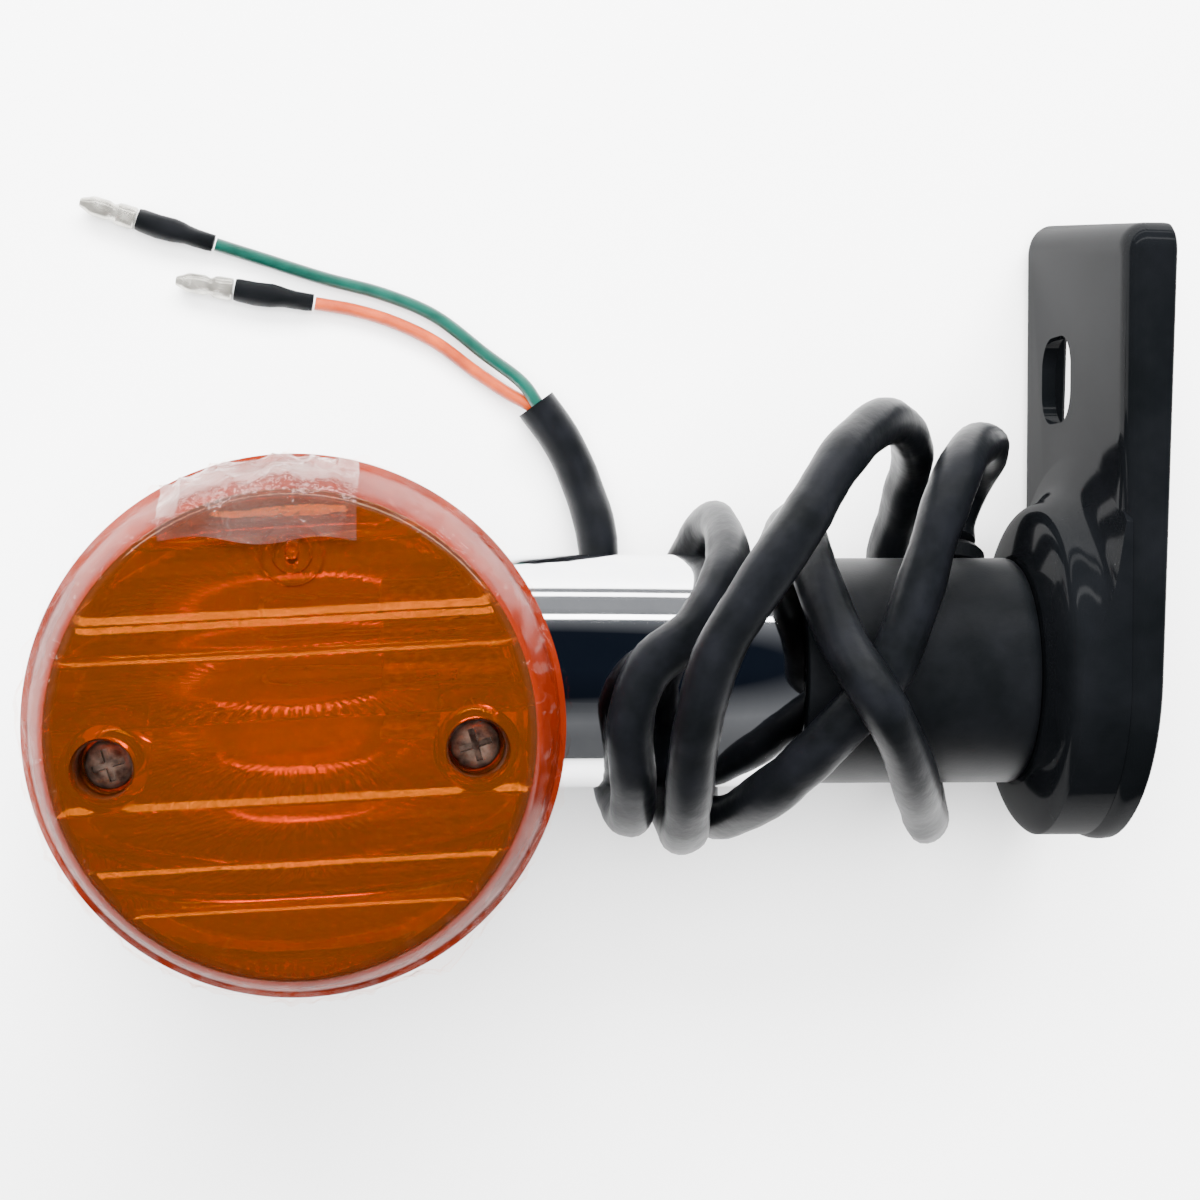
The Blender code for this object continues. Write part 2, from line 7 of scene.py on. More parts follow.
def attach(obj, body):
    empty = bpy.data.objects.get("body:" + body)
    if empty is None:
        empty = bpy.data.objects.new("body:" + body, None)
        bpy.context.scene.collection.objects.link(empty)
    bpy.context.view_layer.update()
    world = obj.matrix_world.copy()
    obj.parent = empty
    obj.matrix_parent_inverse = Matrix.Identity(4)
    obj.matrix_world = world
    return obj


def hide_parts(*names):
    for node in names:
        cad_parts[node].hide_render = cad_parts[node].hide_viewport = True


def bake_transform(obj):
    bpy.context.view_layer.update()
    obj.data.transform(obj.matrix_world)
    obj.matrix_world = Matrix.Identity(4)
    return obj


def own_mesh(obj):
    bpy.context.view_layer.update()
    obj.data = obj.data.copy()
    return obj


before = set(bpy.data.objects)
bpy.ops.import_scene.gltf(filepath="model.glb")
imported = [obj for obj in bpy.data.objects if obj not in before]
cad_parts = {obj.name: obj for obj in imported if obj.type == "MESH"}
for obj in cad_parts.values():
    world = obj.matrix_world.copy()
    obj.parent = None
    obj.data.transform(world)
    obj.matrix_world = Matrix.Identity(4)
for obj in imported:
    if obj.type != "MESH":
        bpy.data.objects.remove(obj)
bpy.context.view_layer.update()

mm = 0.001
headX, headY = -0.0404, -0.018      # middle of the lamp head
stemY, axisZ = -0.012, 0.024        # the stem and stalk run along X on this line
lensTilt = radians(3.0)
screwLineY, screwReach = headY - 0.003, 0.0236      # the lens screws sit either side of this line's middle
grubX = headX + 0.063               # the grub screw that holds the stalk in the stem


def note(text):
    print("stage:", text)


def linear(hexColour):
    values = [int(hexColour[i:i + 2], 16) / 255 for i in (1, 3, 5)]
    return tuple(v / 12.92 if v <= 0.04045 else ((v + 0.055) / 1.055) ** 2.4 for v in values)


def addNode(tree, kind, settings=None, **links):
    # settings holds node properties; links go to inputs by name or by i0, i1 for numbered ones
    node = tree.nodes.new(kind)
    for key, value in (settings or {}).items():
        setattr(node, key, value)
    for key, value in links.items():
        numbered = key[0] == "i" and key[1:].isdigit()
        socket = node.inputs[int(key[1:]) if numbered else key.replace("_", " ")]
        if isinstance(value, bpy.types.NodeSocket):
            tree.links.new(value, socket)
        else:
            socket.default_value = value
    return node


def newMaterial(name, colour, roughness, metallic=0.0, **extra):
    mat = bpy.data.materials.new(name)
    mat.use_nodes = True
    tree = mat.node_tree
    shader = tree.nodes["Principled BSDF"]
    shader.inputs["Base Color"].default_value = (*linear(colour), 1.0)
    shader.inputs["Roughness"].default_value = roughness
    shader.inputs["Metallic"].default_value = metallic
    for key, value in extra.items():
        shader.inputs[key.replace("_", " ")].default_value = value
    return mat, tree, shader


def addMottle(tree, shader, colourA, colourB, scale, roughA, roughB):
    # broad uneven colour and gloss, scale in features per metre
    where = addNode(tree, "ShaderNodeTexCoord").outputs["Object"]
    noiseNode = addNode(tree, "ShaderNodeTexNoise", Vector=where, Scale=scale, Detail=4.0, Roughness=0.6)
    field = noiseNode.outputs["Fac"]
    ramp = addNode(tree, "ShaderNodeValToRGB", Fac=field)
    ramp.color_ramp.elements[0].position, ramp.color_ramp.elements[1].position = 0.35, 0.68
    ramp.color_ramp.elements[0].color = (*linear(colourA), 1.0)
    ramp.color_ramp.elements[1].color = (*linear(colourB), 1.0)
    tree.links.new(ramp.outputs["Color"], shader.inputs["Base Color"])
    gloss = addNode(tree, "ShaderNodeMapRange", Value=field, To_Min=roughA, To_Max=roughB)
    tree.links.new(gloss.outputs["Result"], shader.inputs["Roughness"])
    return where


def addBump(tree, shader, where, scale, height, strength=1.0, detail=2.0):
    grain = addNode(tree, "ShaderNodeTexNoise", Vector=where, Scale=scale, Detail=detail).outputs["Fac"]
    bump = addNode(tree, "ShaderNodeBump", Height=grain, Strength=strength, Distance=height)
    tree.links.new(bump.outputs["Normal"], shader.inputs["Normal"])
    return bump


# each material is named for what the real piece is made of
def chromePlate():
    # bright nickel-chrome over a zinc casting: mirror-like, with the faintest polishing haze
    mat, tree, shader = newMaterial("chromePlate", "#e3e4e6", 0.04, 1.0)
    where = addMottle(tree, shader, "#dcdde0", "#e9eaeb", 90.0, 0.03, 0.07)
    addBump(tree, shader, where, 140.0, 0.00002, 0.25)
    return mat


def blackEnamel():
    # stoved enamel on pressed steel: only its thin coat shines, so it stays black over a pale floor;
    # a slight orange peel about 1.5 mm across wavers in that shine
    mat, tree, shader = newMaterial("blackEnamel", "#0b0c0e", 0.16, Specular_IOR_Level=0.0,
                                    Coat_Weight=0.09, Coat_Roughness=0.1)
    where = addMottle(tree, shader, "#050607", "#0a0b0d", 60.0, 0.16, 0.28)
    addBump(tree, shader, where, 600.0, 0.00003, 0.3)
    return mat


def satinRubber(name="satinRubber", rough=0.46):
    # moulded natural rubber: satin black with a fine 0.4 mm grain
    mat, tree, shader = newMaterial(name, "#0a0b0d", rough, Specular_IOR_Level=0.1)
    where = addMottle(tree, shader, "#050607", "#0a0b0d", 120.0, rough - 0.06, rough + 0.08)
    addBump(tree, shader, where, 2500.0, 0.00004, 0.3)
    return mat


def softSleeve():
    # plasticised PVC sleeving: blue-black, semi-gloss, softly uneven from winding
    mat, tree, shader = newMaterial("softSleeve", "#08090b", 0.36, Specular_IOR_Level=0.12)
    where = addMottle(tree, shader, "#050607", "#0b0c0f", 160.0, 0.3, 0.5)
    addBump(tree, shader, where, 420.0, 0.0003, 0.35, 3.0)
    return mat


def wireInsulation(name, dark, light):
    # extruded PVC insulation: even colour with a soft shine
    mat, tree, shader = newMaterial(name, light, 0.36)
    where = addMottle(tree, shader, dark, light, 220.0, 0.3, 0.42)
    addBump(tree, shader, where, 1800.0, 0.00003, 0.2)
    return mat


def plainMetal(name, dark, light, roughA, roughB, scale=400.0, metallic=1.0):
    # plated or drawn metal: colour and gloss drift with handling; a share under 1 dulls tin or tarnish
    mat, tree, shader = newMaterial(name, light, roughB, metallic)
    where = addMottle(tree, shader, dark, light, scale, roughA, roughB)
    addBump(tree, shader, where, 1500.0, 0.00004, 0.3)
    return mat


def plainDull(name, dark, light, rough):
    # pressed resin board: matt, with colour that drifts a little between two browns
    mat, tree, shader = newMaterial(name, light, rough)
    where = addMottle(tree, shader, dark, light, 500.0, rough - 0.05, rough + 0.05)
    addBump(tree, shader, where, 1500.0, 0.00004, 0.3)
    return mat


def seeThrough(name, tint, body, rough, clearShare=0.9, creases=None, haze=None, metallic=0.0,
               glossShare=0.0):
    # clear plastic as a thin wall: tinted light passes, the rest comes back as gloss and body colour
    # creases: features per metre and height
    # haze: features per metre, then the clearest and the milkiest share of light let through
    mat, tree, shader = newMaterial(name, body, rough, metallic)
    clear = addNode(tree, "ShaderNodeBsdfTransparent", Color=(*linear(tint), 1.0))
    where = addNode(tree, "ShaderNodeTexCoord").outputs["Object"]
    crease = addBump(tree, shader, where, *creases, 1.0, 3.0) if creases else None
    share = clearShare
    if haze:
        size, clearest, milkiest = haze
        field = addNode(tree, "ShaderNodeTexNoise", Vector=where, Scale=size, Detail=4.0).outputs["Fac"]
        milky = addNode(tree, "ShaderNodeMapRange", Value=field, i1=0.35, i2=0.7, i3=clearest, i4=milkiest)
        # a fold seen edge-on turns back more light
        glance = addNode(tree, "ShaderNodeFresnel", IOR=1.35)
        if crease:
            tree.links.new(crease.outputs["Normal"], glance.inputs["Normal"])
        gloss = addNode(tree, "ShaderNodeMath", {"operation": "MULTIPLY"}, i0=glance.outputs[0],
                        i1=glossShare)
        share = addNode(tree, "ShaderNodeMath", {"operation": "SUBTRACT", "use_clamp": True},
                        i0=milky.outputs["Result"], i1=gloss.outputs[0]).outputs[0]
    mix = addNode(tree, "ShaderNodeMixShader", Fac=share, i1=shader.outputs["BSDF"], i2=clear.outputs["BSDF"])
    tree.links.new(mix.outputs["Shader"], tree.nodes["Material Output"].inputs["Surface"])
    return mat


def finishMesh(name, bm, mat, smoothAngle=35, merge=0.00001):
    bmesh.ops.remove_doubles(bm, verts=bm.verts, dist=merge)
    bmesh.ops.recalc_face_normals(bm, faces=bm.faces)
    mesh = bpy.data.meshes.new(name)
    bm.to_mesh(mesh)
    bm.free()
    mesh.shade_smooth()
    mesh.set_sharp_from_angle(angle=radians(smoothAngle))
    mesh.materials.append(mat)
    obj = bpy.data.objects.new(name, mesh)
    bpy.context.scene.collection.objects.link(obj)
    return obj


def bridge(bm, loops, closed=False):
    pairs = list(zip(loops, loops[1:]))
    if closed:
        pairs.append((loops[-1], loops[0]))
    for first, second in pairs:
        count = max(len(first), len(second))
        for i in range(count):
            j = (i + 1) % count
            if len(first) == 1:
                bm.faces.new((first[0], second[i], second[j]))
            elif len(second) == 1:
                bm.faces.new((first[i], first[j], second[0]))
            else:
                bm.faces.new((first[i], first[j], second[j], second[i]))


def turned(profile, segments, axis="Z", centre=None, shape=None):
    # profile of (radius, height) in mm turned about an axis; shape can move each point
    if centre is None:
        centre = (headX, headY, 0) if axis == "Z" else (headX, stemY, axisZ)
    bm = bmesh.new()
    loops = []
    for level, (radius, height) in enumerate(profile):
        count = segments if radius > 0 else 1
        loop = []
        for i in range(count):
            a = 2 * pi * i / segments
            r, h = (radius, height) if shape is None else shape(radius, height, a, level)
            u, v, h = r * cos(a) * mm, r * sin(a) * mm, h * mm
            spot = Vector((h, u, v)) if axis == "X" else Vector((u, v, h))
            loop.append(bm.verts.new(spot + Vector(centre)))
        loops.append(loop)
    bridge(bm, loops, closed=profile[0][0] > 0)
    return bm


def applied(obj):
    # turn live modifiers into a plain mesh
    graph = bpy.context.evaluated_depsgraph_get()
    graph.update()
    mesh = bpy.data.meshes.new_from_object(obj.evaluated_get(graph), depsgraph=graph)
    obj.modifiers.clear()
    obj.data = mesh


def boolean(target, bm, operation):
    cutter = finishMesh("cutter", bm, target.data.materials[0])
    mod = target.modifiers.new(operation.lower(), "BOOLEAN")
    mod.operation, mod.solver, mod.object = operation, "EXACT", cutter
    applied(target)
    bpy.data.objects.remove(cutter, do_unlink=True)


def booleanWith(target, other, operation):
    # the same with a finished object, which it uses up
    made = bmesh.new()
    made.from_mesh(other.data)
    bpy.data.objects.remove(other, do_unlink=True)
    boolean(target, made, operation)


def blockMesh(low, high):
    bm = bmesh.new()
    bmesh.ops.create_cube(bm, size=1.0)
    for v in bm.verts:
        v.co = Vector([low[i] + (high[i] - low[i]) * (v.co[i] + 0.5) for i in range(3)])
    return bm


def curved(ends, steps):
    # Catmull-Rom points from the second of the given ones to the last but one, which is left out
    fine = []
    for k in range(1, len(ends) - 2):
        a, b, c, d = (Vector(p) for p in ends[k - 1:k + 3])
        for i in range(steps):
            t = i / steps
            fine.append(0.5 * (2 * b + (c - a) * t + (2 * a - 5 * b + 4 * c - d) * t * t
                               + (3 * b - a - 3 * c + d) * t ** 3))
    return fine


def curveThrough(points, steps=5):
    # finer profile through the given (radius, height) points
    ends = [points[0]] + list(points) + [points[-1]]
    return [tuple(p) for p in curved(ends, steps)] + [tuple(points[-1])]


def smoothPath(points, count, fineSteps=12):
    # evenly spaced points on a smooth curve through the given ones, and the curve's length
    ends = [2 * points[0] - points[1]] + points + [2 * points[-1] - points[-2]]
    fine = curved(ends, fineSteps) + [points[-1]]
    lengths = [0.0]
    for p, q in zip(fine, fine[1:]):
        lengths.append(lengths[-1] + (q - p).length)
    even, k = [], 0
    for i in range(count):
        goal = lengths[-1] * i / (count - 1)
        while k < len(fine) - 2 and lengths[k + 1] < goal:
            k += 1
        share = (goal - lengths[k]) / (lengths[k + 1] - lengths[k])
        even.append(fine[k].lerp(fine[k + 1], min(max(share, 0.0), 1.0)))
    return even, lengths[-1]


def place(route):
    # route points are mm from the lamp's middle, the stem's line and the floor
    return [Vector((headX + x * mm, stemY + y * mm, z * mm)) for x, y, z in route]


def sweep(name, path, radius, sides, mat, shape=None):
    # tube along a path with a frame carried along it; shape gives radius factors by place and angle
    bm = bmesh.new()
    loops = []
    side = Vector((0, 0, 1))
    for i, spot in enumerate(path):
        ahead = (path[min(i + 1, len(path) - 1)] - path[max(i - 1, 0)]).normalized()
        side = (side - ahead * side.dot(ahead)).normalized()
        other = ahead.cross(side)
        loop = []
        for k in range(sides):
            a = 2 * pi * k / sides
            r = radius * (shape(i, a, spot) if shape else 1.0)
            loop.append(bm.verts.new(spot + side * (r * cos(a)) + other * (r * sin(a))))
        loops.append(loop)
    bridge(bm, loops)
    bm.faces.new(loops[0])
    bm.faces.new(loops[-1])
    return finishMesh(name, bm, mat, 60)


def finished(obj, body, slotName, *nodes):
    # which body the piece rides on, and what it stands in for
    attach(obj, body)
    if nodes:
        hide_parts(*nodes)


studio = {
    "eye": (-0.0306, 0.0072, 0.340),   # the camera, above the lamp and a little to its left
    "fromLeft": radians(2.0),
    "fromAbove": radians(1.5),
    "widthShare": 0.160 / 0.298,       # picture width over its distance
    "shift": (0.128, -0.005),
    "floorColour": "#fcfcfc",
    "floorSize": 1.6,
    "roomStrength": 0.8,
    "roomPale": "#c4c6ca",
    "roomDark": "#1c2330",
    "lamps": [                         # name, place, size, watts, seen in reflections, seen through the lens
        ("tubeNear", (0.02, 0.500, 0.345), (0.055, 1.3), 3.0, True, True),
        ("tubeFar", (0.02, 0.600, 0.090), (0.050, 1.3), 2.0, True, True),
        ("softTop", (-0.10, 0.10, 0.90), (0.9, 0.9), 44.0, False, False),
        ("lensGlow", (0.02, 0.48, 0.47), (0.26, 0.80), 26.0, False, True),
        ("lensFill", (-0.05, 0.10, 0.80), (0.30, 0.50), 0.35, False, True),
    ],
}


def buildStudio():
    note("studio")
    scene = bpy.context.scene
    away = Vector((-sin(studio["fromLeft"]), sin(studio["fromAbove"]), 1.0)).normalized()
    right = Vector((0, 1, 0)).cross(away).normalized()
    up = away.cross(right)
    turn = Matrix((right, up, away)).transposed().to_4x4()
    camera = bpy.data.cameras.new("camera")
    camera.lens = camera.sensor_width / studio["widthShare"]
    camera.shift_x, camera.shift_y = studio["shift"]
    camera.clip_start = 0.01
    view = bpy.data.objects.new("camera", camera)
    view.matrix_world = Matrix.Translation(studio["eye"]) @ turn
    scene.collection.objects.link(view)
    scene.camera = view

    paper = newMaterial("paleFloor", studio["floorColour"], 0.9)[0]
    bm = bmesh.new()
    bmesh.ops.create_grid(bm, x_segments=1, y_segments=1, size=studio["floorSize"] / 2)
    floor = finishMesh("floor", bm, paper)
    floor.location.z = -0.0004

    # the room: dark overhead, grey towards the walls, and darkest on the side away from the tubes
    world = bpy.data.worlds.new("studioWorld")
    world.use_nodes = True
    tree = world.node_tree
    way = addNode(tree, "ShaderNodeTexCoord").outputs["Generated"]
    height = addNode(tree, "ShaderNodeVectorMath", {"operation": "DOT_PRODUCT"}, i0=way,
                     i1=(0.0, 0.17, 0.985))
    ramp = addNode(tree, "ShaderNodeValToRGB", Fac=height.outputs["Value"])
    ramp.color_ramp.elements[0].position, ramp.color_ramp.elements[1].position = 0.52, 0.84
    ramp.color_ramp.elements[0].color = (*linear(studio["roomPale"]), 1.0)
    ramp.color_ramp.elements[1].color = (*linear(studio["roomDark"]), 1.0)
    backdrop = tree.nodes["Background"]
    tree.links.new(ramp.outputs["Color"], backdrop.inputs["Color"])
    side = addNode(tree, "ShaderNodeSeparateXYZ", Vector=way).outputs["Y"]
    level = addNode(tree, "ShaderNodeMapRange", Value=side, i1=-0.9, i2=0.1, i3=studio["roomStrength"] * 0.35,
                    i4=studio["roomStrength"])
    tree.links.new(level.outputs["Result"], backdrop.inputs["Strength"])
    scene.world = world
    # two long tubes give the twin bright lines along the chrome and show in it; the soft panels are
    # left out of reflections, and the top one also out of what is seen through the lens
    for name, spot, size, power, mirrored, seenThrough in studio["lamps"]:
        light = bpy.data.lights.new(name, "AREA")
        light.shape = "RECTANGLE"
        light.size, light.size_y = size
        light.energy = power
        lamp = bpy.data.objects.new(name, light)
        lamp.location = spot
        lamp.rotation_euler = (Vector((0, 0, 0.02)) - Vector(spot)).to_track_quat("-Z", "X").to_euler()
        lamp.visible_glossy = mirrored
        lamp.visible_transmission = seenThrough
        scene.collection.objects.link(lamp)


buildStudio()


lead = {
    "radius": 0.0031, "sides": 20, "steps": 420,
    "wireRadius": 0.0010, "wireSides": 14, "wireSteps": 80,
    "wireColours": {"green": ("#002820", "#003a30"), "orange": ("#7a2604", "#9c3a09")},
    "terminalLift": 0.6,
    # (radius, length) in mm from the wire's end
    "boot": [(0, 0.3), (1.25, 0.3), (1.32, 1.2), (1.36, 3.0), (1.42, 4.4), (1.62, 5.4), (1.78, 6.6),
             (1.8, 9.0), (1.72, 11.6), (1.6, 12.2), (0, 12.2)],
    "bullet": [(0, 12.5), (1.55, 12.5), (1.7, 12.7), (1.7, 14.6), (1.62, 15.2), (1.3, 15.7), (1.22, 16.0),
               (1.34, 16.4), (1.5, 16.8), (1.5, 18.8), (1.4, 19.4), (1.1, 20.0), (0.78, 20.8), (0.62, 21.1),
               (0, 21.15)],
}
cordRoute = [
    (96.0, 18.2, 13.5), (96.5, 21.4, 11.8), (98.2, 26.6, 13.2), (98.6, 30.6, 20.5),
    (95.8, 32.2, 29.5), (91.2, 29.6, 37.5), (87.0, 22.0, 42.0), (83.4, 11.4, 43.2),
    (79.0, 0.8, 44.0), (72.0, -7.6, 43.2), (65.0, -15.4, 38.0), (59.8, -20.4, 28.0),
    (57.8, -20.0, 16.0), (60.0, -12.5, 6.0), (63.8, 0.0, 4.0), (68.0, 10.5, 5.8),
    (70.8, 19.0, 13.0), (70.2, 21.2, 25.5), (70.0, 15.6, 37.6), (72.6, 5.6, 45.0),
    (76.8, -2.8, 50.6), (81.6, -10.6, 45.6), (86.0, -18.2, 34.8), (89.8, -21.6, 23.0),
    (92.0, -18.2, 11.6), (91.2, -8.0, 4.4), (89.2, 4.0, 3.9), (87.6, 15.5, 6.5),
    (88.2, 24.0, 13.5), (87.0, 31.6, 24.5), (80.4, 34.8, 37.5), (72.6, 30.0, 47.0),
    (65.6, 20.6, 53.0), (59.6, 12.3, 55.0), (54.6, 3.8, 54.6), (52.4, -6.6, 51.4),
    (52.4, -17.2, 44.0), (53.6, -22.2, 32.0), (54.0, -20.8, 18.5), (54.0, -13.5, 7.6),
    (54.2, -3.0, 3.9), (55.4, 8.6, 5.4), (58.0, 17.6, 12.4), (59.6, 20.9, 23.5),
    (58.6, 15.0, 37.6), (53.6, 7.0, 43.2), (47.2, 1.6, 44.0), (44.7, -5.6, 43.4),
    (45.8, -14.6, 38.0), (46.6, -20.4, 27.0), (46.0, -17.4, 12.6), (45.0, -6.6, 4.6),
    (44.2, 5.6, 4.2), (44.0, 18.0, 6.2), (41.8, 27.0, 3.6), (38.8, 33.6, 3.3),
    (35.0, 39.0, 3.3),
]
greenRoute = [
    (35.3, 38.8, 4.1), (33.6, 41.4, 3.9), (31.6, 43.4, 3.1), (27.4, 46.6, 1.8), (20.0, 52.3, 1.2),
    (12.2, 55.6, 1.2), (3.1, 58.0, 1.2), (-5.9, 60.8, 1.2), (-13.1, 63.0, 1.4),
]
orangeRoute = [
    (34.9, 38.5, 2.5), (32.9, 39.6, 2.5), (30.6, 40.9, 1.9), (26.0, 44.0, 1.2), (20.0, 48.4, 1.2),
    (13.7, 51.4, 1.2), (7.7, 53.2, 1.2), (1.8, 54.2, 1.4),
]


def turnTo(bm, spot, direction):
    # swings a shape made along X to point another way, and moves it there
    turn = Vector(direction).to_track_quat("X", "Z").to_matrix().to_4x4()
    bm.transform(Matrix.Translation(spot) @ turn)
    return bm


def buildLead():
    note("lead")
    sleeveMat, bootMat = softSleeve(), satinRubber("shrinkBoot", 0.5)
    tin = plainMetal("tinPlate", "#8f8c84", "#c2bfb6", 0.16, 0.34, 500.0, 0.75)
    path, length = smoothPath(place(cordRoute), lead["steps"])

    def creased(i, a, spot):
        # winding flattens the soft sleeve a little and leaves shallow dents
        dents = noise.noise(spot * 150.0 + Vector((0, 0, 5))) * 0.10 + noise.noise(spot * 420.0) * 0.05
        ending = min(i, lead["steps"] - 1 - i) / 14
        flat = (0.07 + 0.05 * noise.noise(Vector((i * 0.02, 3, 1)))) * cos(2 * (a - pi / 2) + i * 0.012)
        fold = -0.10 * max(0.0, cos(a - 0.9 - i * 0.02)) ** 10
        return 1.0 + (flat + fold + dents * 0.8) * min(ending, 1.0)

    sleeve = sweep("leadSleeve", path, lead["radius"], lead["sides"], sleeveMat, creased)
    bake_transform(sleeve)
    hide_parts("lead_sleeve")
    print("sleeve length", round(length, 4))

    # each wire with the slight upward tilt of its terminal
    for name, route, tilt in (("green", greenRoute, 0.012), ("orange", orangeRoute, 0.0)):
        wireMat = wireInsulation(name + "Insulation", *lead["wireColours"][name])
        wirePath, wireLength = smoothPath(place(route), lead["wireSteps"])
        wire = sweep(name + "Wire", wirePath, lead["wireRadius"], lead["wireSides"], wireMat)
        way = (place(route)[-1] - smoothPath(place(route), 30)[0][-2]).normalized()
        way.z = tilt
        seat = place(route)[-1] + Vector((0, 0, lead["terminalLift"] * mm))

        def shrunk(radius, height, a, level):
            # shrink sleeve takes the wire's and the crimp's shape unevenly
            wave = 0.07 * sin(3 * a + height * 0.9) * min(radius, 1.2)
            return radius + wave, height

        bm = turnTo(turned(lead["boot"], 28, "X", (0, 0, 0), shrunk), seat, way)
        boot = finishMesh(name + "Boot", bm, bootMat, 50)

        def crimped(radius, height, a, level):
            # the crimp presses the barrel in on top
            press = 0.32 * max(0.0, cos(a - pi / 2)) if 13.0 < height < 15.0 else 0.0
            return max(radius - press, 0.0) if radius else 0.0, height

        bm = turnTo(turned(lead["bullet"], 28, "X", (0, 0, 0), crimped), seat, way)
        terminal = finishMesh(name + "Terminal", bm, tin, 30)
        for piece, slotName, node in ((boot, "black_pvc", "boot_"), (terminal, "tin_plate", "terminal_")):
            finished(piece, "head", slotName, node + name)
        finished(wire, "head", name + "_pvc", "wire_" + name)
        print(name, "wire length", round(wireLength, 4))


buildLead()


def repeatTree():
    # turns one modelled feature into a full ring of them about a centre
    tree = bpy.data.node_groups.new("ringOfFeatures", "GeometryNodeTree")
    inputs = [("Geometry", "Geometry"), ("Count", "Int"), ("Centre", "Vector"), ("Size Drift", "Float"),
              ("Seed", "Int"), ("Material", "Material")]
    for name, kind in inputs:
        tree.interface.new_socket(name, in_out="INPUT", socket_type="NodeSocket" + kind)
    tree.interface.new_socket("Geometry", in_out="OUTPUT", socket_type="NodeSocketGeometry")
    given = addNode(tree, "NodeGroupInput").outputs
    points = addNode(tree, "GeometryNodePoints", Count=given["Count"], Position=given["Centre"])
    step = addNode(tree, "ShaderNodeMath", {"operation": "DIVIDE"}, i0=2 * pi, i1=given["Count"])
    index = addNode(tree, "GeometryNodeInputIndex")
    angle = addNode(tree, "ShaderNodeMath", {"operation": "MULTIPLY"}, i0=index.outputs[0],
                    i1=step.outputs[0])
    turn = addNode(tree, "ShaderNodeCombineXYZ", Z=angle.outputs[0])
    least = addNode(tree, "ShaderNodeMath", {"operation": "SUBTRACT"}, i0=1.0, i1=given["Size Drift"])
    most = addNode(tree, "ShaderNodeMath", {"operation": "ADD"}, i0=1.0, i1=given["Size Drift"])
    size = addNode(tree, "FunctionNodeRandomValue", {"data_type": "FLOAT"}, Seed=given["Seed"],
                   i2=least.outputs[0], i3=most.outputs[0])
    scale = addNode(tree, "ShaderNodeCombineXYZ", X=1.0, Y=1.0, Z=size.outputs[1])
    ring = addNode(tree, "GeometryNodeInstanceOnPoints", Points=points.outputs[0], Instance=given["Geometry"],
                   Rotation=turn.outputs[0], Scale=scale.outputs[0])
    real = addNode(tree, "GeometryNodeRealizeInstances", Geometry=ring.outputs[0])
    painted = addNode(tree, "GeometryNodeSetMaterial", Geometry=real.outputs[0], Material=given["Material"])
    out = addNode(tree, "NodeGroupOutput")
    tree.links.new(painted.outputs[0], out.inputs[0])
    return tree


ringTree = repeatTree()


def shaded(obj, angle=35):
    obj.data.shade_smooth()
    obj.data.set_sharp_from_angle(angle=radians(angle))


def repeated(name, bm, mat, count, centre, sizeDrift=0.0, seed=3):
    mesh = bpy.data.meshes.new(name)
    bm.to_mesh(mesh)
    bm.free()
    obj = bpy.data.objects.new(name, mesh)
    bpy.context.scene.collection.objects.link(obj)
    mod = obj.modifiers.new("ring", "NODES")
    mod.node_group = ringTree
    given = {"Count": count, "Centre": Vector(centre), "Size Drift": sizeDrift, "Seed": seed, "Material": mat}
    for item in ringTree.interface.items_tree:
        if item.in_out == "INPUT" and item.name in given:
            mod[item.identifier] = given[item.name]
    applied(obj)
    made = bmesh.new()
    made.from_mesh(obj.data)
    bmesh.ops.remove_doubles(made, verts=made.verts, dist=0.00001)
    bmesh.ops.recalc_face_normals(made, faces=made.faces)
    made.to_mesh(obj.data)
    made.free()
    if not obj.data.materials:
        obj.data.materials.append(mat)
    shaded(obj, 40)
    return obj


def screwSpots():
    spots = []
    for side in (1, -1):
        reach = side * screwReach
        spots.append((headX + reach * cos(lensTilt), screwLineY + reach * sin(lensTilt)))
    return spots


def extruded(outline, low, high, axis="X"):
    bm = bmesh.new()
    loops = []
    for h in (low, high):
        loops.append([bm.verts.new((h, u, v) if axis == "X" else (u, v, h)) for u, v in outline])
    bridge(bm, loops)
    bm.faces.new(loops[0])
    bm.faces.new(loops[1])
    bmesh.ops.recalc_face_normals(bm, faces=bm.faces)
    return bm


lens = {
    "segments": 288,
    "ribLines": (-29.5, -19.0, -13.0, -5.9, 4.9, 12.7, 17.8, 27.0, 31.5),   # mm above the screw line
    "ribDepth": 2.2, "ribStep": 0.25, "ribSteps": 12,
    "flutes": 165, "fluteDepth": 0.52, "fluteSteps": 6,
    "fluteEnds": ((33.12, 44.0, 0.60), (30.6, 56.3, 0.555)),    # radius, height and half width, foot then top
    "fluteRoot": 0.3,                  # how far each flute is sunk into the wall
    "gate": (0.25, 22.95),             # the round moulding mark
    "reach": 0.036,                    # the lens's largest radius, in metres
    "body": "#e37409",
}


def amberPlastic():
    # injection-moulded amber acrylic: deep orange where light comes back through it, brown where none does
    mat, tree, shader = newMaterial("amberPlastic", lens["body"], 0.05, Transmission_Weight=0.96, IOR=1.49)
    where = addNode(tree, "ShaderNodeTexCoord").outputs["Object"]
    addBump(tree, shader, where, 30.0, 0.00025, 1.0, 3.0)
    return mat


def amberFlutesPaintedShade():
    # the same plastic where the moulded flutes scatter light: redder and milkier than the clear face; its
    # darker body colour and lower see-through share are painted shade on the fluted wall
    mat, tree, shader = newMaterial("amberFlutesPaintedShade", "#661a07", 0.2, Transmission_Weight=0.25, IOR=1.49,
                                    Specular_IOR_Level=0.0)
    where = addMottle(tree, shader, "#581505", "#742109", 60.0, 0.14, 0.26)
    addBump(tree, shader, where, 300.0, 0.0001, 0.4)
    return mat


